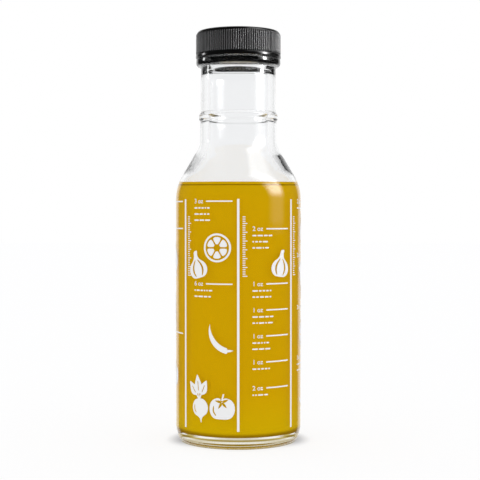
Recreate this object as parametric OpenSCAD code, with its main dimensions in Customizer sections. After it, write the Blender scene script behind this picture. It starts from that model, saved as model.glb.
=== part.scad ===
// Ring-neck glass dressing bottle with a ribbed screw cap, a foam liner and a printed measuring scale.
// Lengths are in millimetres. +Z is up, and the origin is on the axis, in the plane the bottle stands on.
// The front, where the middle printed rule is, faces -Y.

/* [Body] */
// Outside diameter of the body
body_d = 59.6; // [57:0.2:62]
// Glass thickness of the body wall
body_wall = 2.7; // [2.2:0.1:3.2]
// Height of the corner where the shoulder meets the body, before it is rounded
shoulder_z = 121; // [114:1:130]
// Slope of the shoulder, in degrees from the vertical
shoulder_slope = 30.5; // [27:0.5:34]
// Radius that rounds the shoulder into the body
shoulder_round = 21.8; // [14:0.2:24]
// Radius that rounds the shoulder into the neck
neck_round = 13; // [8:1:16]
// Height of the inside corner of shoulder and body over the outside one
inner_low_rise = 0.8; // [0.4:0.1:1.2]
// Depth of the inside corner of shoulder and neck under the outside one
inner_high_drop = 1.6; // [1.2:0.1:2.4]

/* [Base] */
// Height over which the heel leans in under the body
heel_h = 6.5; // [5.5:0.5:7.5]
// How far it leans in
heel_lean = 1.6; // [1:0.2:2.2]
// Radius of the heel, from there to the ring that the bottle stands on
heel_round = 3.2; // [2.4:0.2:4]
// Width of the ring that the bottle stands on, inside the heel's rounding
bearing_w = 3.2; // [2.2:0.2:4.2]
// Height of the hollow under the base
push_up = 2.2; // [1.4:0.2:2.8]
// Width of the sloping edge of that hollow
push_run = 8; // [6:1:10]
// Glass thickness over the bearing ring
base_thick = 5.5; // [4.7:0.2:6.5]
// How far the inside floor rises towards the middle
floor_dome = 2.4; // [1:0.2:3]
// Radius between the inside floor and the wall
floor_round = 5; // [3:0.5:7]

/* [Neck] */
// Outside diameter of the neck at the shoulder
neck_d = 36.2; // [35.8:0.2:36.6]
// Outside diameter of the neck just under the transfer bead
neck_top_d = 35.6; // [35.2:0.2:35.8]
// Length of the neck, from the shoulder's corner to the transfer bead
neck_h = 37; // [33:0.4:41]
// Inside diameter of the neck
neck_bore = 28.9; // [28.3:0.1:29.5]
// Diameter of the ring round the neck
ring_d = 37.6; // [37:0.2:38.6]
// Height of that ring
ring_h = 4.2; // [3.4:0.2:5]
// Distance from the transfer bead down to the middle of that ring
ring_drop = 23.8; // [19.8:1:27.8]

/* [Mouth] */
// How far the transfer bead, the collar under the cap, stands out from the mouth
bead_out = 2.8; // [2.6:0.1:3.1]
// Height of the transfer bead
bead_h = 3.7; // [3.5:0.1:4.5]
// Height of the mouth, from the transfer bead to the rim
mouth_h = 10.8; // [10.4:0.1:11.8]
// Outside diameter of the mouth between its threads
mouth_d = 34.6; // [34.4:0.1:34.8]
// Glass thickness of the mouth
mouth_wall = 3.7; // [3.5:0.05:3.9]
// Depth from the rim to where the mouth's bore starts to widen into the neck
throat_depth = 16; // [14:0.5:18]
// Length over which it widens
throat_run = 2.6; // [2.2:0.2:5]
// Radius of the lip's inner and outer edge
lip_round = 1.2; // [0.8:0.1:1.5]

/* [Thread] */
// Distance the cap rises in one turn
pitch = 4.233; // [4:0.1:4.4]
// Turns of thread on the glass and in the cap
thread_turns = 1.15; // [1:0.05:1.25]
// Height of the glass thread over the mouth
thread_depth = 1.15; // [0.95:0.05:1.2]
// Width of the glass thread at its foot
thread_w = 2.1; // [1.8:0.1:2.2]
// Depth from the rim to the top end of the glass thread
thread_drop = 2; // [1.8:0.1:2.2]
// Width of the cap's thread at its foot
cap_thread_w = 1.6; // [1.4:0.1:1.7]
// Clearance between each thread's crest and the wall that it faces
thread_play = 0.35; // [0.3:0.05:0.45]

/* [Cap] */
// Thickness of the cap's skirt between its ribs
skirt_wall = 0.9; // [0.8:0.05:1.1]
// Number of ribs round the cap
ribs = 116; // [96:2:124]
// Depth of the grooves between the ribs
rib_depth = 0.4; // [0.3:0.05:0.55]
// How far the smooth band at the foot of the cap stands out from the ribs
band_out = 0.2; // [0.1:0.05:0.3]
// Height of that band
band_h = 1.6; // [1.3:0.1:2]
// Thickness of the cap's top
cap_top = 1.2; // [1:0.1:1.6]
// Radius of the cap's top edge
cap_edge = 1.2; // [0.7:0.1:1.3]
// Clearance between the cap's foot and the transfer bead
cap_gap = 0.3; // [0.2:0.1:0.6]

/* [Liner] */
// Thickness of the foam liner
liner_t = 1; // [0.8:0.1:1.6]
// Clearance round the liner inside the cap
liner_play = 0.3; // [0.2:0.05:0.4]
// Clearance over and under the liner
liner_gap = 0.1; // [0.05:0.05:0.2]

/* [Filling] */
// Height of the dressing over the corner between shoulder and body
fill_rise = 1; // [-20:0.2:6]
// Clearance between the dressing and the glass
fill_gap = 0.1; // [0.05:0.05:0.3]

/* [Print] */
// Thickness of the fired ink
ink_t = 0.12; // [0.08:0.02:0.3]
// Angle from one printed rule to the next
column_angle = 55; // [51:1:58]
// Width of a printed rule
rule_w = 1.1; // [0.8:0.05:1.6]
// Distance from a rule's upper end to where the body starts to round
rule_inset = 0.2; // [0.2:0.2:5]
// Height of a rule's lower end
rule_foot = 8.8; // [8.4:0.2:12.8]
// Width of a measuring line
line_w = 0.6; // [0.4:0.05:0.9]
// Distance from a rule's upper end to the highest measuring line
scale_drop = 1; // [1:0.1:2]
// Distance between the measuring lines, for one fluid ounce, in the scale's upper part
upper_step = 12.6; // [12:0.1:12.8]
// The same further down
lower_step = 11.9; // [11.5:0.1:12.3]
// Length of one unit in the drawings of the printed kitchen-garden figures
figure_unit = 1; // [0.85:0.05:1.1]

/* [Hidden] */
$fn = 96;

body_r = body_d / 2;
body_in_r = body_r - body_wall;
neck_r = neck_d / 2;
neck_top_r = neck_top_d / 2;
neck_in_r = neck_bore / 2;
mouth_r = mouth_d / 2;
mouth_in_r = mouth_r - mouth_wall;
thread_r = mouth_r + thread_depth;
bead_r = mouth_r + bead_out;
ring_r = ring_d / 2;
bearing_in_r = body_r - heel_lean - heel_round - bearing_w;

neck_z = shoulder_z + (body_r - neck_r) / tan(shoulder_slope);
bead_z = neck_z + neck_h;
bead_top_z = bead_z + bead_h;
rim_z = bead_top_z + mouth_h;
ring_z = bead_z - ring_drop;
throat_z = rim_z - throat_depth;
fill_z = shoulder_z + fill_rise;

// The bead's corners, and the fillets where bead and ring stand on the neck
bead_under_round = 1.8;
bead_over_round = 0.6;
root_round = 0.4;
ring_round = 1;
throat_round = 4;
// The heel's upper bend, the bearing ring's inner edge, and the curves of the hollow and of the inside floor
heel_soften = 10;
bearing_round = 0.6;
push_round = 6;
dome_round = 12;
dome_edge_round = 8;

cap_thread_r = mouth_r + thread_play;
cap_in_r = thread_r + thread_play;
cap_root_r = cap_in_r + skirt_wall;
cap_r = cap_root_r + rib_depth;
band_r = cap_r + band_out;
cap_z = bead_top_z + cap_gap;
cap_band_z = cap_z + band_h;
ceiling_z = rim_z + liner_t + 2 * liner_gap;
cap_top_z = ceiling_z + cap_top;

// Lowest centre of the glass thread, and half a pitch below it the cap's
thread_z = rim_z - thread_drop - thread_turns * pitch;
cap_thread_z = thread_z - pitch / 2;
thread_steps = 60;
// Share of a thread's length over which each of its ends dies away
thread_fade = 0.12;
// How far a thread's foot is sunk in the wall that carries it
thread_root = 0.35;

body_end_z = shoulder_z - shoulder_round * tan(shoulder_slope / 2);
rule_top_z = body_end_z - rule_inset;
// A measuring line's start and length round the bottle, from the rule on its left
line_from = 25.5;
line_turn = column_angle - 30.5;
// Number of steps in the scale's upper part
upper_steps = 3;
// The lines of the scale: [column, number of steps below the highest line]
scale_lines = [
    [0, 7], [0, 6], [0, 5], [0, 4], [0, 3], [0, 1], [-1, 3], [-1, 0], [-2, 5], [-2, 1], [-2, 0],
    [1, 6], [1, 4], [1, 2], [1, 0], [2, 7], [2, 5], [2, 3], [2, 1], [-3, 6], [-3, 3], [-3, 0]];
// The figures: [kind, angle round the bottle, height of its middle as a share of the rules, turn of the drawing]
figures = [
    [1, -19, 0.79, 0], [2, -39, 0.71, 14], [6, -20, 0.44, -28], [4, -37, 0.135, 6], [0, -14.5, 0.1, 0],
    [2, 41, 0.715, -8], [5, -84, 0.74, 20], [3, -88, 0.5, 24], [0, -84, 0.22, 0],
    [2, 86, 0.87, 6], [3, 84, 0.636, 24], [1, 88, 0.397, 0], [6, 80, 0.13, 20],
    [4, 136, 0.75, -8], [0, 134, 0.515, 0], [2, 140, 0.274, 0],
    [5, -140, 0.827, -16], [4, -136, 0.42, 10], [1, -142, 0.14, 0]];

// Points round a corner at b, between a and c, whose radius is r
function corner(a, b, c, r) =
    r <= 0 ? [b] :
    let(u = (a - b) / norm(a - b), v = (c - b) / norm(c - b),
        half = acos(u * v) / 2, reach = r / tan(half),
        centre = b + (u + v) / norm(u + v) * r / sin(half),
        start = b + u * reach - centre, end = b + v * reach - centre,
        from = atan2(start.y, start.x),
        turn = (atan2(end.y, end.x) - from + 540) % 360 - 180,
        steps = max(2, ceil(abs(turn) / 9)))
    [for (i = [0:steps]) centre + r * [cos(from + turn * i / steps), sin(from + turn * i / steps)]];

// Outline through corners given as [x, y, radius]
function outline(corners) =
    let(n = len(corners), at = [for (c = corners) [c.x, c.y]])
    [for (i = [0:n - 1]) each corner(at[(i + n - 1) % n], at[i], at[(i + 1) % n], corners[i].z)];

// Inner wall from the floor's middle up to the shoulder's inner end, set in from the glass by gap
function inner_wall(gap) =
    let(wall_r = body_in_r - gap, floor_z = base_thick + gap,
        low_z = shoulder_z + inner_low_rise, high_z = neck_z - inner_high_drop,
        dip = gap * tan(atan2(body_in_r - neck_in_r, high_z - low_z) / 2))
    [[0, floor_z + floor_dome, 0],
     [wall_r / 3, floor_z + floor_dome, dome_round],
     [wall_r - floor_round, floor_z, dome_edge_round],
     [wall_r, floor_z, floor_round * 0.9 - gap],
     [wall_r, low_z - dip, shoulder_round - body_wall - gap],
     [neck_in_r - gap, high_z - dip, neck_round + body_wall + gap]];

outer_wall = [
    [neck_r, neck_z, neck_round],
    [body_r, shoulder_z, shoulder_round],
    [body_r, heel_h, heel_soften],
    [body_r - heel_lean, 0, heel_round],
    [bearing_in_r, 0, bearing_round],
    [bearing_in_r - push_run, push_up, push_round],
    [0, push_up, 0]];

mouth_and_neck = [
    [neck_in_r, throat_z - throat_run, throat_round],
    [mouth_in_r, throat_z, throat_round],
    [mouth_in_r, rim_z, lip_round],
    [mouth_r, rim_z, lip_round],
    [mouth_r, bead_top_z, root_round],
    [bead_r, bead_top_z, bead_over_round],
    [bead_r, bead_z, bead_under_round],
    [neck_top_r, bead_z, root_round],
    [neck_top_r, ring_z + ring_h / 2, root_round],
    [ring_r, ring_z + ring_h / 4, ring_round],
    [ring_r, ring_z - ring_h / 4, ring_round],
    [neck_r, ring_z - ring_h / 2, root_round]];

// Section of a thread at a share s of its length: [radius, height] about its middle.
// The crest sinks into the wall at both ends, so the thread dies away.
function thread_section(s, wall, crest, foot_w) =
    let(live = min(1, min(s, 1 - s) / thread_fade), out = crest > wall ? 1 : -1,
        deep = wall - out * thread_root, top = deep + (crest - deep) * max(live, 0.08),
        shoulder = deep + (top - deep) * 0.72)
    [[deep, -out * foot_w / 2], [shoulder, -out * foot_w * 0.34], [top, -out * foot_w * 0.17],
     [top, out * foot_w * 0.17], [shoulder, out * foot_w * 0.34], [deep, out * foot_w / 2]];

// Right-hand thread that starts at height z and stands on a wall of radius wall
module thread(z, wall, crest, foot_w) {
    m = 6;
    points = [for (i = [0:thread_steps])
        let(s = i / thread_steps, a = 360 * thread_turns * s)
        for (p = thread_section(s, wall, crest, foot_w))
            [p.x * cos(a), p.x * sin(a), z + pitch * thread_turns * s + p.y]];
    last = thread_steps * m;
    sides = [for (i = [0:thread_steps - 1]) for (j = [0:m - 1])
        let(a = i * m + j, b = i * m + (j + 1) % m)
        each [[a, b, b + m], [a, b + m, a + m]]];
    ends = [for (j = [1:m - 2]) each [[0, j + 1, j], [last, last + j, last + j + 1]]];
    polyhedron(points = points, faces = concat(sides, ends), convexity = 6);
}

module glass_bottle() {
    color([0.86, 0.9, 0.89, 0.35]) {
        rotate_extrude() polygon(outline(concat(inner_wall(0), mouth_and_neck, outer_wall)));
        thread(thread_z, mouth_r, thread_r, thread_w);
    }
}

module dressing() {
    color([0.78, 0.6, 0.02, 0.9])
        rotate_extrude() intersection() {
            polygon(outline(concat(inner_wall(fill_gap), [[0, neck_z, 0]])));
            square([body_r, fill_z]);
        }
}

module cap_ribs() {
    step = 360 / ribs;
    // Half angles of a rib's flat tip and of its foot, as shares of one step
    tip = 0.16;
    foot = 0.36;
    linear_extrude(height = ceiling_z - cap_band_z)
        polygon([for (i = [0:ribs - 1]) for (p = [[-foot, cap_root_r], [-tip, cap_r], [tip, cap_r], [foot, cap_root_r]])
            p.y * [cos((i + p.x) * step), sin((i + p.x) * step)]]);
}

module screw_cap() {
    lead_in = 0.5;
    color([0.05, 0.05, 0.055]) {
        difference() {
            union() {
                translate([0, 0, cap_band_z]) intersection() {
                    cap_ribs();
                    cylinder(h = ceiling_z - cap_band_z, r1 = cap_r + 4, r2 = cap_root_r);
                }
                rotate_extrude() polygon(outline([
                    [0, cap_z, 0], [band_r, cap_z, 0.4], [band_r, cap_band_z, 0.5],
                    [cap_root_r, cap_band_z, 0], [cap_root_r, cap_top_z, cap_edge], [0, cap_top_z, 0]]));
            }
            rotate_extrude() polygon([
                [0, cap_z - 1], [cap_in_r + lead_in, cap_z - 1], [cap_in_r + lead_in, cap_z],
                [cap_in_r, cap_z + lead_in], [cap_in_r, ceiling_z], [0, ceiling_z]]);
        }
        thread(cap_thread_z, cap_in_r, cap_thread_r, cap_thread_w);
    }
}

module cap_liner() {
    color([0.93, 0.93, 0.9])
        translate([0, 0, rim_z + liner_gap]) cylinder(h = liner_t, r = cap_in_r - liner_play);
}

// Presses flat drawings, stood in front of the body by place(), onto the glass as a skin of ink
module ink() {
    color([0.97, 0.97, 0.96]) intersection() {
        difference() {
            cylinder(h = shoulder_z, r = body_r + ink_t);
            translate([0, 0, -1]) cylinder(h = shoulder_z + 2, r = body_r);
        }
        union() children();
    }
}

// Stands a flat drawing up at an angle round the bottle, with its foot at height z
module place(angle, z) {
    rotate([0, 0, angle]) translate([0, -body_r * 0.75, z]) rotate([90, 0, 0])
        linear_extrude(height = body_r * 0.3) children();
}

module print_rules() {
    ink() for (i = [-3:3]) place(i * column_angle, rule_foot)
        translate([-rule_w / 2, 0]) square([rule_w, rule_top_z - rule_foot]);
}

// Height of the measuring line that lies n steps below the highest one
function line_z(n) =
    rule_top_z - scale_drop - min(n, upper_steps) * upper_step - max(n - upper_steps, 0) * lower_step;

module print_measure_lines() {
    color([0.97, 0.97, 0.96]) for (line = scale_lines)
        translate([0, 0, line_z(line[1]) - line_w / 2])
            rotate([0, 0, line[0] * column_angle - 90 + line_from])
                rotate_extrude(angle = line_turn)
                    translate([body_r, 0]) square([ink_t, line_w]);
}

// Cuts a polygon's corners twice, which rounds it
function soften(p, times = 2) =
    times == 0 ? p :
    soften([for (i = [0:len(p) - 1]) let(q = p[(i + 1) % len(p)]) each [p[i] * 0.75 + q * 0.25, p[i] * 0.25 + q * 0.75]],
           times - 1);

// The figures are drawn in units, each about the point that is set on the glass

// Leaf of length h and width w that stands on the origin, with a slit for its midrib
module leaf(h, w, slit = 0.3) {
    difference() {
        polygon(soften([[0, 0], [w * 0.5, h * 0.25], [w * 0.5, h * 0.55], [w * 0.15, h * 0.95], [0, h * 1.1],
                        [-w * 0.15, h * 0.95], [-w * 0.5, h * 0.55], [-w * 0.5, h * 0.25]], 1));
        if (slit > 0) translate([-slit / 2, h * 0.22]) square([slit, h * 0.5]);
    }
}

module tomato() {
    difference() {
        polygon(soften([[0, -5.2], [4.2, -5], [6.2, -1.6], [5.6, 2.8], [2.4, 4.8], [0, 4], [-2.4, 4.8], [-5.6, 2.8],
                        [-6.2, -1.6], [-4.2, -5]]));
        translate([0, 2.6]) for (a = [78:72:366]) rotate([0, 0, a]) leaf(3.2, 1.2, 0);
        polygon(soften([[-4.3, 0.6], [-3.7, 1], [-3.9, -1.6], [-2.6, -3.4], [-3, -3.8], [-4.6, -1.8]]));
    }
    translate([0, 3.3]) rotate([0, 0, -14]) translate([-0.35, 0]) square([0.7, 3.2]);
}

module lemon_slice() {
    difference() {
        circle(r = 6.6, $fn = 32);
        circle(r = 5.7, $fn = 32);
    }
    for (a = [0:60:300]) rotate([0, 0, a])
        polygon(soften([[0, 0.9], [1.9, 3.9], [1.5, 4.7], [0, 5], [-1.5, 4.7], [-1.9, 3.9]], 1));
}

module garlic() {
    difference() {
        polygon(soften([[0, -5.6], [3.4, -5.4], [5.4, -2.6], [4.6, 0.8], [1.6, 3], [0.9, 5], [1.6, 7.2], [-0.8, 6.8],
                        [-0.9, 5], [-1.6, 3], [-4.6, 0.8], [-5.4, -2.6], [-3.4, -5.4]]));
        for (side = [-1, 1]) scale([side, 1])
            polygon(soften([[0.3, 2.9], [1, 2.9], [3, 0.2], [3.3, -2.4], [2.1, -4.8], [1.4, -4.8], [2.3, -2.4], [2, 0.1]]));
    }
}

module carrot() {
    difference() {
        polygon(soften([[0, -10], [0.8, -8.4], [2.4, 0], [2.9, 3.4], [1.6, 5.4], [-1.6, 5.4], [-2.9, 3.4], [-2.4, 0],
                        [-0.8, -8.4]]));
        translate([-3, 1.9]) square([2.6, 0.35]);
        translate([0.3, -0.6]) square([2.6, 0.35]);
        translate([-2.6, -3.4]) square([2, 0.35]);
    }
    for (a = [-34, 0, 34]) translate([0, 4.6]) rotate([0, 0, a]) leaf(5.8 - abs(a) / 25, 2, 0);
}

module radish() {
    difference() {
        polygon(soften([[0, -11.8], [0.5, -8.6], [3.8, -7], [4.6, -3.4], [2.8, -0.4], [0, 0.2], [-2.8, -0.4], [-4.6, -3.4],
                        [-3.8, -7], [-0.5, -8.6]]));
        polygon(soften([[-3.2, -2.6], [-2.7, -2.4], [-3, -4.6], [-2.2, -6.2], [-2.6, -6.6], [-3.6, -4.8]]));
    }
    for (a = [-30, 0, 30]) translate([0, -0.4]) rotate([0, 0, a]) {
        translate([-0.3, 0]) square([0.6, 3]);
        translate([0, 2.2]) leaf(8.6 - abs(a) / 20, 4.2, 0.45);
    }
}

module basil() {
    difference() {
        polygon(soften([[0, -7], [3.4, -5.2], [5, -1.6], [4, 2.6], [1, 6.4], [0, 8.4], [-1, 6.4], [-4, 2.6], [-5, -1.6],
                        [-3.4, -5.2]]));
        translate([-0.2, -4.8]) square([0.4, 9.6]);
        for (side = [-1, 1], z = [-4, -1.4, 1.2]) scale([side, 1]) translate([0.55, z]) rotate([0, 0, 38])
            square([2.7, 0.35]);
    }
    translate([-0.35, -9.4]) square([0.7, 3]);
}

module chilli() {
    turns = [for (i = [0:10]) 196 + 10 * i];
    polygon(soften(concat([for (i = [0:10]) (9 - 0.9 * sin(18 * i)) * [cos(turns[i]), sin(turns[i])] + [5, 3]],
                          [for (i = [10:-1:0]) (9 + 0.26 * i) * [cos(turns[i]), sin(turns[i])] + [5, 3]]), 1));
    translate([8.8, -6.6]) rotate([0, 0, -58]) leaf(3.2, 1.1, 0);
}

// Draws the figure with a given number
module figure(kind) {
    if (kind == 0) tomato();
    if (kind == 1) lemon_slice();
    if (kind == 2) garlic();
    if (kind == 3) carrot();
    if (kind == 4) radish();
    if (kind == 5) basil();
    if (kind == 6) chilli();
}

module print_figures() {
    ink() for (f = figures) place(f[1], rule_foot + f[2] * (rule_top_z - rule_foot))
        rotate([0, 0, f[3]]) scale([figure_unit, figure_unit]) figure(f[0]);
}

glass_bottle();
dressing();
screw_cap();
cap_liner();
print_rules();
print_measure_lines();
print_figures();
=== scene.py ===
"""Ring-neck glass dressing bottle with its ribbed black screw cap, a foam liner, golden dressing
and a white fired print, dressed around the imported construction. Lengths are in metres."""

import math

import bmesh
import bpy
import numpy as np
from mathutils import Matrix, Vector


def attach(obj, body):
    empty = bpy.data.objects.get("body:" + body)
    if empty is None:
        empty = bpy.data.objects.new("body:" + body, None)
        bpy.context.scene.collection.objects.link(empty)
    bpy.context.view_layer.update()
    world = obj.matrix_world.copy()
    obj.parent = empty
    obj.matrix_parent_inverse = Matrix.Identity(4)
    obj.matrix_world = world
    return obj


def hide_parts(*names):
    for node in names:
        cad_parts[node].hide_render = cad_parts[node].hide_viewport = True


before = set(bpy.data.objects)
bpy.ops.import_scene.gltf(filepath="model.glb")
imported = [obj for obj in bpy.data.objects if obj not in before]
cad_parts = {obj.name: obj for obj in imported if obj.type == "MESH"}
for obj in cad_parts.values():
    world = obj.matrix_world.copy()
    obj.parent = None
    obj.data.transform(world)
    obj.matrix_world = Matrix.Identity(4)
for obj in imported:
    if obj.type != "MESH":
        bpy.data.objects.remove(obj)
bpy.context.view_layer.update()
MM = 0.001


# Camera: level with the upper body, a little over half a metre in front, and turned down slightly.
# The lens is long, as for a shop picture, so the bottle's sides stay nearly upright.
CAMERA_TILT = 1.229
camera = bpy.data.objects.new("camera", bpy.data.cameras.new("camera"))
bpy.context.scene.collection.objects.link(camera)
camera.data.lens = 90.9
camera.data.sensor_width = 36.0
camera.data.clip_start = 0.02
camera.location = (0.0008, -0.580, 0.108)
camera.rotation_euler = (math.radians(90.0 - CAMERA_TILT), 0.0, 0.0)
bpy.context.scene.camera = camera


# Glass bottle: one piece of flint glass, blown in a two-part mould, with a thick heel, a hollow under
# the base, a ring and a transfer bead round the neck, and a screw thread of just over one turn.
BODY_R, BODY_IN_R = 29.8 * MM, 27.1 * MM
NECK_R, NECK_TOP_R, NECK_IN_R = 18.1 * MM, 17.8 * MM, 14.45 * MM
MOUTH_R, MOUTH_IN_R, BEAD_R, RING_R = 17.3 * MM, 13.6 * MM, 20.1 * MM, 18.8 * MM
SHOULDER_Z, NECK_Z, BEAD_Z = 121.0 * MM, 140.862 * MM, 177.862 * MM
BEAD_TOP_Z, RIM_Z = BEAD_Z + 3.7 * MM, BEAD_Z + 14.5 * MM
RING_Z, THROAT_Z = BEAD_Z - 23.8 * MM, RIM_Z - 16.0 * MM
FLOOR_Z, FLOOR_DOME, PUSH_UP = 5.5 * MM, 2.4 * MM, 2.2 * MM
HEEL_R, BEARING_IN_R, FILL_Z = 28.2 * MM, 21.8 * MM, SHOULDER_Z + 1.0 * MM
PITCH, THREAD_TURNS = 4.233 * MM, 1.15
THREAD_Z = RIM_Z - 2.0 * MM - THREAD_TURNS * PITCH
THREAD_FOOT, THREAD_CREST = 2.3 * MM, 1.15 * MM
GLASS_STEPS = 224


def outline(corners, turn=5.0, reach=0.9 * MM):
    """Points along a line through corners (radius, height, rounding). Each corner becomes an arc that
    touches both its legs, r / tan(half angle) from the corner, and straights are cut into short steps."""
    at = np.array([c[:2] for c in corners])
    line = [at[0]]
    for i in range(1, len(corners) - 1):
        r = corners[i][2]
        u, v = at[i - 1] - at[i], at[i + 1] - at[i]
        u, v = u / np.linalg.norm(u), v / np.linalg.norm(v)
        half = math.acos(np.clip(u @ v, -1.0, 1.0)) / 2.0
        if r <= 0.0 or half > math.radians(89.5):
            line.append(at[i])
            continue
        centre = at[i] + (u + v) / np.linalg.norm(u + v) * r / math.sin(half)
        a, b = at[i] + u * r / math.tan(half) - centre, at[i] + v * r / math.tan(half) - centre
        start = math.atan2(a[1], a[0])
        sweep = (math.atan2(b[1], b[0]) - start + math.pi) % (2.0 * math.pi) - math.pi
        n = max(3, math.ceil(abs(math.degrees(sweep)) / turn))
        angle = start + sweep * np.arange(n + 1) / n
        line += list(centre + r * np.stack([np.cos(angle), np.sin(angle)], axis=1))
    line.append(at[-1])
    line, cut = np.array(line), []
    for a, b in zip(line[:-1], line[1:]):
        n = max(1, math.ceil(np.linalg.norm(b - a) / reach))
        cut.append(a + (b - a) * np.arange(n)[:, None] / n)
    return np.vstack(cut + [line[-1:]])


def round_steps(count):
    """Angles of so many even steps round the axis, as one row."""
    return np.linspace(0.0, 2.0 * math.pi, count, endpoint=False)[None, :]


def turned(name, radius, height, angle):
    """Closed mesh of a line turned about the axis, where both its ends lie: x = r cos a, y = r sin a.
    Radius and height have a row for each point of the line and one column, or one for each angle. Faces
    point outwards."""
    x, y, z = np.broadcast_arrays(radius * np.cos(angle), radius * np.sin(angle), height)
    rows, columns = x.shape
    points = np.stack([x, y, z], axis=2).reshape(-1, 3)
    i = np.arange(rows - 1)[:, None]
    j = np.arange(columns)[None, :]
    below, above, right = i * columns, (i + 1) * columns, (j + 1) % columns
    quads = np.stack([below + j, below + right, above + right, above + j], axis=2).reshape(-1, 4)
    mesh = bpy.data.meshes.new(name)
    mesh.from_pydata(points, [], quads.tolist())
    cleaner = bmesh.new()
    cleaner.from_mesh(mesh)
    bmesh.ops.remove_doubles(cleaner, verts=cleaner.verts, dist=2e-7)
    bmesh.ops.dissolve_degenerate(cleaner, edges=cleaner.edges, dist=1e-8)
    bmesh.ops.recalc_face_normals(cleaner, faces=cleaner.faces)
    cleaner.to_mesh(mesh)
    cleaner.free()
    mesh.polygons.foreach_set("use_smooth", np.ones(len(mesh.polygons), dtype=bool))
    piece = bpy.data.objects.new(name, mesh)
    bpy.context.scene.collection.objects.link(piece)
    return piece


def inside_wave(angle, z, radius):
    """Slight waves of a blown inside wall: three slow ripples round the bottle that drift with height,
    up to about 0.12 mm deep, dying away at the mouth and in the middle of the floor."""
    fade = np.clip((0.172 - z) / 0.02, 0.0, 1.0) * np.clip(radius / (8.0 * MM), 0.0, 1.0)
    wave = (np.sin(2.0 * angle + 34.0 * z) + 0.7 * np.sin(3.0 * angle - 61.0 * z + 1.3)
            + 0.5 * np.sin(5.0 * angle + 97.0 * z + 4.0))
    return 0.055 * MM * wave * fade


def thread_height(angle, z, start, turns, foot, crest):
    """How far a right-hand thread stands out at each point: a ridge of height crest, centred on the line
    start + pitch * turn, with sloping flanks over the width foot, dying away at both of its ends."""
    turn = (angle / (2.0 * math.pi)) % 1.0
    height = np.zeros(np.broadcast(angle, z).shape)
    for lap in range(-1, 3):
        along = turn + lap
        live = np.clip(np.minimum(along, turns - along) / 0.12, 0.0, 1.0)
        off = np.abs(z - start - PITCH * along) / (foot / 2.0)
        height = np.maximum(height, crest * live * np.clip((1.0 - off) / 0.62, 0.0, 1.0))
    return height


inner_low = SHOULDER_Z + 0.8 * MM
inner_high = NECK_Z - 1.6 * MM
inner_wall = [
    (0.0, FLOOR_Z + FLOOR_DOME, 0.0),
    (BODY_IN_R / 3.0, FLOOR_Z + FLOOR_DOME, 12.0 * MM),
    (BODY_IN_R - 5.0 * MM, FLOOR_Z, 8.0 * MM),
    (BODY_IN_R, FLOOR_Z, 4.5 * MM),
    (BODY_IN_R, inner_low, 19.1 * MM),
    (NECK_IN_R, inner_high, 15.7 * MM),
]
mouth = [
    (NECK_IN_R, THROAT_Z - 2.6 * MM, 4.0 * MM),
    (MOUTH_IN_R, THROAT_Z, 4.0 * MM),
    (MOUTH_IN_R, RIM_Z, 1.2 * MM),
    (MOUTH_R, RIM_Z, 1.2 * MM),
    (MOUTH_R, BEAD_TOP_Z, 0.4 * MM),
    (BEAD_R, BEAD_TOP_Z, 0.6 * MM),
    (BEAD_R, BEAD_Z, 1.8 * MM),
    (NECK_TOP_R, BEAD_Z, 0.4 * MM),
]
ring_and_neck = [
    (NECK_TOP_R, RING_Z + 2.1 * MM, 0.8 * MM),
    (RING_R, RING_Z + 1.05 * MM, 1.0 * MM),
    (RING_R, RING_Z - 1.05 * MM, 1.0 * MM),
    (NECK_R, RING_Z - 2.1 * MM, 0.8 * MM),
]
outer_wall = [
    (NECK_R, NECK_Z, 13.0 * MM),
    (BODY_R, SHOULDER_Z, 21.8 * MM),
    (BODY_R, 6.5 * MM, 10.0 * MM),
    (HEEL_R, 0.0, 3.2 * MM),
    (BEARING_IN_R, 0.0, 0.6 * MM),
    (BEARING_IN_R - 8.0 * MM, PUSH_UP, 6.0 * MM),
    (0.0, PUSH_UP, 0.0),
]
# The three lines share a leg with their neighbours and are cut to meet at these heights.
inner_cut, outer_cut = inner_high + 6.0 * MM, BEAD_Z - 1.0 * MM
inside = outline(inner_wall + mouth[:1], 4.0, 1.2 * MM)
mouth_line = outline([inner_wall[-1]] + mouth + ring_and_neck[:1], 8.0, 0.35 * MM)
outside = outline([mouth[-1]] + ring_and_neck + outer_wall, 4.0, 1.4 * MM)
inside = inside[inside[:, 1] < inner_cut]
on_bore = mouth_line[:, 0] < MOUTH_IN_R + 2.0 * MM
mouth_line = mouth_line[mouth_line[:, 1] >= np.where(on_bore, inner_cut, outer_cut)]
outside = outside[outside[:, 1] < outer_cut]
line = np.vstack([inside, mouth_line, outside])
is_inside = np.arange(len(line)) < len(inside) + np.argmax(mouth_line[:, 1])

angle = round_steps(GLASS_STEPS)
radius, height = line[:, :1], line[:, 1:]
on_mouth = (np.abs(radius - MOUTH_R) < 0.1 * MM) & (height > BEAD_TOP_Z)
thread = thread_height(angle, height, THREAD_Z, THREAD_TURNS, THREAD_FOOT, THREAD_CREST)
radius = radius + np.where(is_inside[:, None], inside_wave(angle, height, radius), 0.0)
radius = radius + np.where(on_mouth, thread, 0.0)
glass_bottle = turned("bottle_glass", radius, height, angle)


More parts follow.
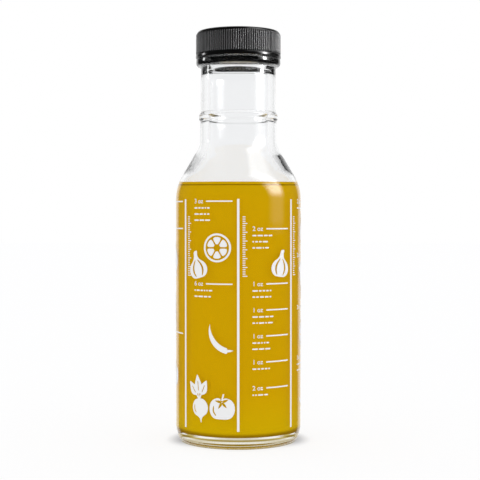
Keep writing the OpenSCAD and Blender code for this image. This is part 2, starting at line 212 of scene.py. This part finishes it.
class Socket:
    """Wraps a shader socket, so that sums and products on it add Math nodes."""

    tree = None

    def __init__(self, out):
        self.out = out

    @staticmethod
    def node(kind, inputs=(), out=0, **settings):
        """Adds a node of a type: settings first, then values or links of its sockets, by name or place."""
        made = Socket.tree.nodes.new(kind)
        for key, value in settings.items():
            setattr(made, key, value)
        for key, value in dict(inputs).items():
            if isinstance(value, Socket):
                Socket.tree.links.new(value.out, made.inputs[key])
            else:
                made.inputs[key].default_value = value
        return Socket(made.outputs[out])

    def math(self, operation, *others, swap=False):
        """Adds a Math node on this socket and the others, or with swap in the opposite order."""
        sides = [*others, self] if swap else [self, *others]
        return Socket.node("ShaderNodeMath", dict(enumerate(sides)), operation=operation)

    def __add__(self, other):
        return self.math("ADD", other)

    def __sub__(self, other):
        return self.math("SUBTRACT", other)

    def __rsub__(self, other):
        return self.math("SUBTRACT", other, swap=True)

    def __mul__(self, other):
        return self.math("MULTIPLY", other)

    __radd__, __rmul__ = __add__, __mul__


def material(name, bump=None, strength=0.3, depth=0.1 * MM, **sockets):
    """Principled surface with the given sockets, and a height that feeds its Normal through a Bump node."""
    made = bpy.data.materials.new(name)
    made.use_nodes = True
    Socket.tree = made.node_tree
    shader = Socket.tree.nodes["Principled BSDF"]
    if bump is not None:
        normal = Socket.node("ShaderNodeBump", {"Strength": strength, "Distance": depth, "Height": bump()})
        Socket.tree.links.new(normal.out, shader.inputs["Normal"])
    for key, value in sockets.items():
        socket = shader.inputs[key.replace("_", " ")]
        value = value() if callable(value) else value
        if isinstance(value, Socket):
            Socket.tree.links.new(value.out, socket)
        else:
            socket.default_value = value
    return made


def place():
    """The surface's own place, in metres."""
    return Socket.node("ShaderNodeTexCoord", out=3)


def level():
    """Height of the surface's own place."""
    return Socket.node("ShaderNodeSeparateXYZ", {0: place()}, out=2)


def from_axis():
    """Distance of the surface's own place from the bottle's axis."""
    flat = Socket.node("ShaderNodeVectorMath", {0: place(), 1: (1.0, 1.0, 0.0)}, operation="MULTIPLY")
    return Socket.node("ShaderNodeVectorMath", {0: flat}, out=1, operation="LENGTH")


def rising(value, low, high, start=0.0, end=1.0):
    """A smooth step from start to end while the value goes from low to high."""
    return Socket.node("ShaderNodeMapRange", {0: value, 1: low, 2: high, 3: start, 4: end},
                       interpolation_type="SMOOTHSTEP")


def window(value, low, high, soft):
    """One between low and high, fading to nothing over the width soft at both ends."""
    return rising(value, low - soft, low) * rising(value, high, high + soft, 1.0, 0.0)


def between(factor, low, high):
    """Colour that goes from low to high as the factor goes from 0 to 1. Both may be fields."""
    low, high = (end if isinstance(end, Socket) else (*end, 1.0) for end in (low, high))
    return Socket.node("ShaderNodeMix", {0: factor, 6: low, 7: high}, out=2, data_type="RGBA")


def noise(scale, detail=2.0, stretch=(1.0, 1.0, 1.0)):
    """Smooth noise on the surface's own place, stretched along the axes."""
    spot = Socket.node("ShaderNodeMapping", {"Vector": place(), "Scale": stretch})
    return Socket.node("ShaderNodeTexNoise", {"Vector": spot, "Scale": scale, "Detail": detail})


def glass_ripple():
    """Faint mould chill marks: slow ripples stretched round the bottle, over finer ones."""
    return noise(28.0, 2.0, (1.0, 1.0, 2.4)) + 0.12 * noise(420.0, 1.0)


def glass_with_painted_light():
    """Clear glass with painted light and shade. The bead's outer face is painted dark, standing in for the
    black cap seen through it. The heel is painted pale gold with two darker painted bands round it, standing
    in for the oil's light running down in the glass."""
    entering = 1.0 - Socket.node("ShaderNodeNewGeometry", out=6)
    outer = from_axis().math("GREATER_THAN", NECK_TOP_R + 0.3 * MM)
    # Painted shade: the bead's outer face is painted dark in place of the black cap seen through it.
    bead = outer * window(level(), BEAD_Z + 0.6 * MM, BEAD_TOP_Z + 0.3 * MM, 0.3 * MM)
    # Painted light: two darker gold bands and a pale gold heel, in place of the oil's light seen down in the
    # thick glass.
    low_painted_streak = window(level(), 2.0 * MM, 2.7 * MM, 0.5 * MM)
    high_painted_streak = window(level(), 4.1 * MM, 4.6 * MM, 0.5 * MM)
    painted_streaks = from_axis().math("GREATER_THAN", 24.0 * MM) * (0.55 * low_painted_streak + high_painted_streak)
    heel = rising(level(), 1.0 * MM, 5.4 * MM, 1.0, 0.0)
    glass = between(heel, (0.975, 0.98, 0.985), (0.85, 0.81, 0.6))
    glass = between(painted_streaks, glass, (0.3, 0.2, 0.02))
    return between(bead * entering, glass, (0.01, 0.01, 0.01))


flint_glass = material("clear_flint", bump=glass_ripple, strength=0.25, depth=0.25 * MM,
                       Base_Color=glass_with_painted_light, Roughness=0.0, IOR=1.5, Transmission_Weight=1.0)
glass_bottle.data.materials.append(flint_glass)
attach(glass_bottle, "bottle")
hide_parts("glass_bottle")


# Dressing: olive oil dressing, golden yellow, filled up to the foot of the shoulder. It wets the glass,
# so its side lies a hair inside the wall and its top creeps up the glass in a small meniscus.
def dressing_line():
    """Floor and wall of the inside, sunk a little into the glass, then over the meniscus to the middle.
    The meniscus falls from its edge as exp(-distance / 0.9 mm)."""
    sunk = 0.06 * MM
    corners = [(r + (sunk if r else 0.0), z - (sunk if z < 0.01 else 0.0), c) for r, z, c in inner_wall]
    wet = outline(corners, 4.0, 1.2 * MM)
    wet = wet[wet[:, 1] < FILL_Z + 0.5 * MM]
    edge = wet[-1, 0]
    inward = np.array([0.15, 0.4, 0.8, 1.3, 2.0, 3.0, 5.0, 9.0, 15.0, 21.0]) * MM
    top = np.stack([edge - inward, FILL_Z + 0.6 * MM * np.exp(-inward / (0.9 * MM))], axis=1)
    return np.vstack([wet, top, [[0.0, FILL_Z]]]), len(wet)


line, wet_rows = dressing_line()
radius, height = line[:, :1], line[:, 1:]
wet = (np.arange(len(line)) < wet_rows)[:, None]
radius = radius + np.where(wet, inside_wave(angle, height, radius), 0.0)
dressing = turned("dressing_fill", radius, height, angle)


def painted_meniscus_line():
    """One on a painted dark line a millimetre under the meniscus's edge, standing in for the line it draws
    round the glass.
    """
    # Painted shade: a thin dark line just under the meniscus.
    return window(level(), FILL_Z - 1.0 * MM, FILL_Z - 0.7 * MM, 0.2 * MM)


def shaded():
    """One in that painted line and on the curve at the oil's foot, painted shade where less light comes
    through.
    """
    # Painted shade: darker in the meniscus line and at the oil's foot.
    return painted_meniscus_line().math("MAXIMUM", rising(level(), 6.0 * MM, 7.6 * MM, 0.9, 0.0))


def oil_colour():
    """Golden oil, painted brown as shade where it is shaded."""
    return between(shaded(), (0.72, 0.42, 0.0), (0.36, 0.19, 0.0))


def oil_painted_glow():
    """Painted glow, standing in for light that comes through the oil from behind, yellower low down, where
    the floor adds to it.
    """
    low = rising(level(), 8.0 * MM, 30.0 * MM, 1.0, 0.0)
    glow = between(low, (0.2, 0.135, 0.0), (0.22, 0.175, 0.0))
    return between(shaded(), glow, (0.09, 0.055, 0.0))


# Painted light: the oil and its top give off light of their own, standing in for light passing through the
# oil.
oil = material("dressing_oil", Base_Color=oil_colour, Roughness=0.3, IOR=1.47, Specular_IOR_Level=0.0,
               Emission_Color=oil_painted_glow, Emission_Strength=1.0)
oil_top = material("dressing_top", Base_Color=(0.72, 0.42, 0.0, 1.0), Roughness=0.03, IOR=1.47,
                   Emission_Color=(0.2, 0.135, 0.0, 1.0), Emission_Strength=1.0)
dressing.data.materials.append(oil)
dressing.data.materials.append(oil_top)
centres = np.empty(len(dressing.data.polygons) * 3)
normals = np.empty(len(dressing.data.polygons) * 3)
dressing.data.polygons.foreach_get("center", centres)
dressing.data.polygons.foreach_get("normal", normals)
on_top = (centres[2::3] > FILL_Z - 1.0 * MM) & (normals[2::3] > 0.6)
dressing.data.polygons.foreach_set("material_index", on_top.astype(np.int32))
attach(dressing, "bottle")
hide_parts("dressing")


# White print: glass enamel screened onto the body and fired. Upright rules part it into columns, each
# with measuring lines and their numbers, rows of plain dashes, and kitchen-garden figures.
INK_OUT = 0.05 * MM
COLUMN, TEXT_TURN, TOOTH_TURN = 55.0, 12.5, 3.8
TOP_LINE_Z, UPPER_STEP, LOWER_STEP, UPPER_STEPS = 113.857 * MM, 12.6 * MM, 11.9 * MM, 3
FIRST_ROW, ROW_STEP, DASH_HIGH, DASH_GAP = 3.4 * MM, 2.8 * MM, 0.66 * MM, 0.5 * MM
TEETH, TEETH_Z, TOOTH_STEP, TOOTH_HIGH = 28, 79.5 * MM, 1.0 * MM, 0.42 * MM
NUMBER_HIGH, NUMBER_DROP = 2.9 * MM, 0.9 * MM


def enamel_grain():
    """Fine grain that the screen's mesh leaves in the ink."""
    return noise(5200.0, 2.0)


white_enamel = material("fired_enamel", bump=enamel_grain, strength=0.35, depth=0.02 * MM,
                        Base_Color=(0.93, 0.935, 0.94, 1.0), Roughness=0.42)
for name in ("print_rules", "print_measure_lines", "print_figures"):
    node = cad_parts[name]
    node.data.materials.clear()
    node.data.materials.append(white_enamel)


def pressed(name, flat):
    """Wraps flat shapes (x along the surface, y up, in metres) round the body as a thin closed skin.
    A point x goes to the angle x / r, and upright cuts each millimetre let the skin follow the curve."""
    work = bmesh.new()
    work.from_mesh(flat)
    low, high = (f(v.co.x for v in work.verts) for f in (min, max))
    for x in np.arange(low, high, 1.0 * MM)[1:]:
        bmesh.ops.bisect_plane(work, geom=work.verts[:] + work.edges[:] + work.faces[:],
                               plane_co=(float(x), 0.0, 0.0), plane_no=(1.0, 0.0, 0.0), dist=1e-7)
    bmesh.ops.remove_doubles(work, verts=work.verts, dist=1e-7)
    up = bmesh.ops.extrude_face_region(work, geom=work.faces[:])
    for v in up["geom"]:
        if isinstance(v, bmesh.types.BMVert):
            v.co.z = 1.0
    bmesh.ops.recalc_face_normals(work, faces=work.faces)
    mesh = bpy.data.meshes.new(name)
    work.to_mesh(mesh)
    work.free()
    at = np.empty(len(mesh.vertices) * 3)
    mesh.vertices.foreach_get("co", at)
    at = at.reshape(-1, 3)
    turn = at[:, 0] / BODY_R - math.pi / 2.0
    r = np.where(at[:, 2] > 0.5, BODY_R + INK_OUT, BODY_R - INK_OUT)
    wrapped = np.stack([r * np.cos(turn), r * np.sin(turn), at[:, 1]], axis=1)
    mesh.vertices.foreach_set("co", wrapped.ravel())
    cleaner = bmesh.new()
    cleaner.from_mesh(mesh)
    bmesh.ops.recalc_face_normals(cleaner, faces=cleaner.faces)
    cleaner.to_mesh(mesh)
    cleaner.free()
    piece = bpy.data.objects.new(name, mesh)
    bpy.context.scene.collection.objects.link(piece)
    return piece


def bar(x, y, width, height, cut=0.3):
    """Corners of a bar with its corners cut off, which starts at x, y."""
    c = min(width, height) * cut
    return [(x + c, y), (x + width - c, y), (x + width, y + c), (x + width, y + height - c),
            (x + width - c, y + height), (x + c, y + height), (x, y + height - c), (x, y + c)]


def flat_mesh(shapes):
    """One flat mesh from lists of corners."""
    mesh = bpy.data.meshes.new("flat")
    corners = [(x, y, 0.0) for shape in shapes for x, y in shape]
    starts = np.cumsum([0] + [len(shape) for shape in shapes])
    mesh.from_pydata(corners, [], [list(range(a, b)) for a, b in zip(starts[:-1], starts[1:])])
    return mesh


def arc(degrees):
    """Length along the body of an angle."""
    return math.radians(degrees) * BODY_R


def line_z(steps):
    """Height of the measuring line that lies so many steps under the highest one."""
    return TOP_LINE_Z - min(steps, UPPER_STEPS) * UPPER_STEP - max(steps - UPPER_STEPS, 0) * LOWER_STEP


# Each column's number, then its lines as (steps under the highest, printed number, rows of dashes).
columns = {
    0: [(1, 2, 3), (3, 1, 2), (4, 1, 2), (5, 1, 2), (6, 1, 1), (7, 2, 1)],
    -1: [(0, 3, 3), (3, 6, 2)],
    -2: [(0, 1, 1), (1, 2, 1), (5, 4, 2)],
    1: [(0, 2, 1), (2, 2, 0), (4, 2, 0), (6, 3, 2)],
    2: [(1, 3, 0), (3, 2, 1), (5, 2, 2), (7, 2, 1)],
    -3: [(0, 4, 1), (3, 3, 2), (6, 3, 2)],
}
draw = np.random.default_rng(7)
dashes, teeth = [], []
for column, lines in columns.items():
    left = arc(column * COLUMN)
    for steps, _, rows in lines:
        for row in range(rows):
            x = left + arc(TEXT_TURN)
            end = x + draw.uniform(8.0, 11.0) * MM
            y = line_z(steps) - FIRST_ROW - ROW_STEP * row
            while x < end - 0.8 * MM:
                width = min(draw.choice([0.8, 1.3, 1.9, 2.6]) * MM, end - x)
                dashes.append(bar(x, y, width, DASH_HIGH))
                x += width + DASH_GAP
    for step in range(TEETH):
        width = (1.3 if step % 4 else 2.2) * MM
        teeth.append(bar(left + arc(TOOTH_TURN), TEETH_Z + step * TOOTH_STEP, width, TOOTH_HIGH, 0.2))

dash_rows = pressed("print_dash_rows", flat_mesh(dashes))
fine_scale = pressed("print_fine_scale", flat_mesh(teeth))


def numbers():
    """The scale's plain numbers of ounces, set in the upright typeface that comes with the program."""
    whole = bmesh.new()
    for column, lines in columns.items():
        for steps, number, _ in lines:
            curve = bpy.data.curves.new("number", "FONT")
            curve.body = f"{number} oz"
            curve.size = NUMBER_HIGH
            curve.resolution_u = 4
            curve.offset = 0.03 * MM
            maker = bpy.data.objects.new("number", curve)
            bpy.context.scene.collection.objects.link(maker)
            bpy.context.view_layer.update()
            laid = maker.evaluated_get(bpy.context.evaluated_depsgraph_get())
            mesh = bpy.data.meshes.new_from_object(laid)
            bpy.data.objects.remove(maker)
            at = np.empty(len(mesh.vertices) * 3)
            mesh.vertices.foreach_get("co", at)
            at = at.reshape(-1, 3) + (arc(column * COLUMN + TEXT_TURN), line_z(steps) - NUMBER_DROP, 0.0)
            mesh.vertices.foreach_set("co", at.ravel())
            whole.from_mesh(mesh)
    mesh = bpy.data.meshes.new("numbers")
    whole.to_mesh(mesh)
    whole.free()
    return mesh


scale_numbers = pressed("print_numbers", numbers())
for piece in (dash_rows, fine_scale, scale_numbers):
    piece.data.materials.append(white_enamel)
    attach(piece, "bottle")


# Screw cap: moulded black plastic with fine ribs, a smooth band round its foot, a rounded top edge
# and a thread inside that runs half a pitch under the one on the glass.
RIBS, RIB_STEPS, RIB_DEPTH = 116, 9, 0.4 * MM
CAP_IN_R, CAP_THREAD_FOOT, CAP_THREAD_CREST = 18.8 * MM, 1.8 * MM, 1.15 * MM
CAP_ROOT_R, BAND_R = 19.7 * MM, 20.3 * MM
CAP_Z = BEAD_TOP_Z + 0.3 * MM
BAND_Z, CEILING_Z = CAP_Z + 1.6 * MM, RIM_Z + 1.2 * MM
CAP_TOP_Z = CEILING_Z + 1.2 * MM
cap_line = outline([
    (0.0, CEILING_Z, 0.0),
    (CAP_IN_R, CEILING_Z, 0.5 * MM),
    (CAP_IN_R, CAP_Z + 0.5 * MM, 0.0),
    (CAP_IN_R + 0.5 * MM, CAP_Z, 0.15 * MM),
    (BAND_R, CAP_Z, 0.4 * MM),
    (BAND_R, BAND_Z, 0.45 * MM),
    (CAP_ROOT_R + 0.08 * MM, BAND_Z + 0.15 * MM, 0.15 * MM),
    (CAP_ROOT_R, CAP_TOP_Z - 0.1 * MM, 1.3 * MM),
    (CAP_ROOT_R - 2.2 * MM, CAP_TOP_Z, 1.0 * MM),
    (0.0, CAP_TOP_Z, 0.0),
], 9.0, 0.3 * MM)
is_inner = np.arange(len(cap_line)) < np.argmin(cap_line[:, 1] + (cap_line[:, 0] < 0.01))
# On the flat top and ceiling only every sixth row is needed.
keep = np.ones(len(cap_line), dtype=bool)
flat_rows = (cap_line[:, 0] < 17.0 * MM) & (cap_line[:, 0] > 0.0)
keep[flat_rows] = np.arange(len(cap_line))[flat_rows] % 6 == 0
cap_line, is_inner = cap_line[keep], is_inner[keep][:, None]
angle = round_steps(RIBS * RIB_STEPS)
radius, height = cap_line[:, :1], cap_line[:, 1:]
wave = 0.5 + 0.5 * np.cos(angle * RIBS)
tooth = np.clip(1.35 * wave - 0.1, 0.0, 1.0) ** 0.8
foot = np.clip((height - BAND_Z - 0.25 * MM) / (0.3 * MM), 0.0, 1.0)
head = np.clip((CAP_TOP_Z - 1.1 * MM - height) / (0.7 * MM), 0.0, 1.0)
outer_side = ~is_inner & (radius > CAP_ROOT_R - 0.9 * MM)
on_bore = is_inner & (np.abs(radius - CAP_IN_R) < 0.05 * MM)
thread = thread_height(angle, height, THREAD_Z - PITCH / 2.0, THREAD_TURNS, CAP_THREAD_FOOT, CAP_THREAD_CREST)
radius = radius + np.where(outer_side, RIB_DEPTH * tooth * foot * head, 0.0) - np.where(on_bore, thread, 0.0)
screw_cap = turned("cap_shell", radius, height, angle)


def moulded_skin():
    """Faint orange-peel of a moulded skin over a finer grain."""
    return noise(900.0, 3.0) + 0.3 * noise(4200.0, 2.0)


def cap_sheen():
    """Roughness that varies softly, as handled plastic does."""
    return 0.14 + 0.08 * noise(160.0, 3.0)


def black_with_painted_rib_light():
    """Black, painted a little greyer on the ribs' crests as a painted highlight, and blackest between them as
    painted shade.
    """
    # Painted highlight on the rib crests and painted shade between the ribs.
    crest = rising(from_axis(), CAP_ROOT_R + 0.16 * MM, CAP_ROOT_R + 0.36 * MM)
    above_band = rising(level(), BAND_Z, BAND_Z + 0.6 * MM)
    return between(crest * above_band, (0.002, 0.002, 0.002), (0.08, 0.08, 0.082))


black_plastic = material("black_plastic", bump=moulded_skin, strength=0.05, depth=0.02 * MM,
                         Base_Color=black_with_painted_rib_light, Roughness=cap_sheen, IOR=1.5)
screw_cap.data.materials.append(black_plastic)
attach(screw_cap, "cap")
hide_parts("screw_cap")


# Liner: a disc of white foam that the cap presses on the rim. It is punched from sheet, so its edge is
# cut square, and the rim has left a shallow ring in its underside.
LINER_R, LINER_Z, LINER_TOP = 18.5 * MM, RIM_Z + 0.1 * MM, RIM_Z + 1.1 * MM
DENT_R, DENT_HALF_WIDTH, DENT_DEPTH = 15.7 * MM, 1.5 * MM, 0.16 * MM
LINER_STEPS = 160
liner_line = outline([
    (0.0, LINER_Z, 0.0),
    (LINER_R, LINER_Z, 0.12 * MM),
    (LINER_R, LINER_TOP, 0.12 * MM),
    (0.0, LINER_TOP, 0.0),
], 15.0, 0.4 * MM)
radius, height = liner_line[:, :1], liner_line[:, 1:]
dent = DENT_DEPTH * np.exp(-(((radius - DENT_R) / DENT_HALF_WIDTH) ** 4))
height = height + np.where(height < LINER_Z + 0.01 * MM, dent, 0.0)
cap_liner = turned("foam_liner", radius, height, round_steps(LINER_STEPS))


def foam_cells():
    """Closed foam cells, a few tenths of a millimetre across."""
    return Socket.node("ShaderNodeTexVoronoi", {"Vector": place(), "Scale": 3000.0})


foam = material("white_foam", bump=foam_cells, strength=0.3, depth=0.04 * MM,
                Base_Color=(0.84, 0.84, 0.81, 1.0), Roughness=0.7)
cap_liner.data.materials.append(foam)
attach(cap_liner, "liner")
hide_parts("cap_liner")


# Studio: a white floor that glows about as brightly as the white room round it, with the bottle's soft
# shadow painted on it, and two small round lamps high at the sides that put the spots on cap and bead.
floor_mesh = bpy.data.meshes.new("floor")
floor_mesh.from_pydata([(-4, -4, 0), (4, -4, 0), (4, 4, 0), (-4, 4, 0)], [], [(0, 1, 2, 3)])
floor = bpy.data.objects.new("floor", floor_mesh)
bpy.context.scene.collection.objects.link(floor)


def floor_light():
    """White, with a painted soft grey shadow beside and behind the foot and, under it, a painted patch of the
    oil's yellow light.
    """
    out, deep = from_axis(), Socket.node("ShaderNodeSeparateXYZ", {0: place()}, out=1)
    # Painted shadow round the foot, and under it a painted yellow patch for the oil's light.
    shadow = rising(out, 26.0 * MM, 36.0 * MM, 1.0, 0.0) * rising(deep, -26.0 * MM, -4.0 * MM)
    under = rising(out, 26.6 * MM, 27.8 * MM, 1.0, 0.0)
    grey = between(shadow, (0.82, 0.82, 0.82), (0.36, 0.36, 0.37))
    return between(under, grey, (0.22, 0.17, 0.03))


floor_mesh.materials.append(material("floor_white", Base_Color=(0.2, 0.2, 0.205, 1.0), Roughness=0.9,
                                     Specular_IOR_Level=0.0, Emission_Color=floor_light,
                                     Emission_Strength=1.0))
floor.visible_glossy = False

world = bpy.data.worlds.new("world")
bpy.context.scene.world = world
world.use_nodes = True
Socket.tree = world.node_tree
background = Socket.tree.nodes["Background"]
world.cycles.sampling_method = "NONE"

# How bright the room is along a way (x, y, z), for each kind of ray. The camera sees plain white, and
# dull faces get an even light. Refracted rays see a nearly white room. Mirrored ones see a white wall
# behind the bottle, a window to the right, which draws the streak down the body, and darkness elsewhere.
# The window is brightest high up, which makes the spot on the body's shoulder.
path = Socket.node("ShaderNodeLightPath").out.node.outputs
seen, mirrored = Socket(path["Is Camera Ray"]), Socket(path["Is Reflection Ray"])
scattered = Socket(path["Diffuse Depth"]).math("MINIMUM", 1.0)
way = Socket.node("ShaderNodeSeparateXYZ", {0: Socket.node("ShaderNodeTexCoord", out=0)}).out.node.outputs
x, y, z = Socket(way["X"]), Socket(way["Y"]), Socket(way["Z"])
aside = x.math("ABSOLUTE")
middle = rising(aside, 0.06, 0.40, 0.96, 1.04)
refracted = rising(aside, 0.82, 0.94, 1.0, 0.6)
reflected = rising(aside, 0.50, 0.66, 1.0, 0.06) * rising(z, 0.25, 0.5, 1.0, 0.4)
wall = middle * (refracted + mirrored * (reflected - refracted))
front = 0.85 - 0.81 * mirrored
room = front + rising(y, -0.05, 0.25) * (wall - front)
down = rising(z, -0.02, 0.0, 0.0, 0.9)
up = rising(z, 0.02, 0.32, 0.0, 10.0) * rising(z, 0.42, 0.62, 1.0, 0.2)
streak = window(y, -0.34, -0.14, 0.26) * rising(x, 0.2, 0.4) * (down + up)
even = 0.8 + 0.16 * aside + 0.05 * x
lit = scattered * even + (1.0 - scattered) * (room + streak)
strength = seen + (1.0 - seen) * lit
background.inputs["Color"].default_value = (1.0, 1.0, 1.0, 1.0)
Socket.tree.links.new(strength.out, background.inputs["Strength"])

# The lamps are aimed at the middle of the cap, in a narrow beam. They neither light dull faces nor shine
# through glass, and only show as spots on faces that mirror them.
LAMP_AIM = Vector((0.0, 0.0, 0.188))
lamps = [
    ("key", Vector((0.267, -0.075, 0.228)), 0.034, 1.5),
    ("fill", Vector((-0.265, 0.068, 0.226)), 0.026, 0.25),
]
for name, spot, radius, power in lamps:
    light = bpy.data.objects.new(name, bpy.data.lights.new(name, "SPOT"))
    bpy.context.scene.collection.objects.link(light)
    light.data.energy = power
    light.data.shadow_soft_size = radius
    light.data.spot_size = math.radians(17.0)
    light.data.spot_blend = 0.2
    light.location = spot
    light.rotation_euler = (spot - LAMP_AIM).to_track_quat("Z", "Y").to_euler()
    light.visible_diffuse = False
    light.visible_transmission = False

bpy.context.scene.view_settings.view_transform = "Standard"
bpy.context.scene.cycles.use_denoising = True
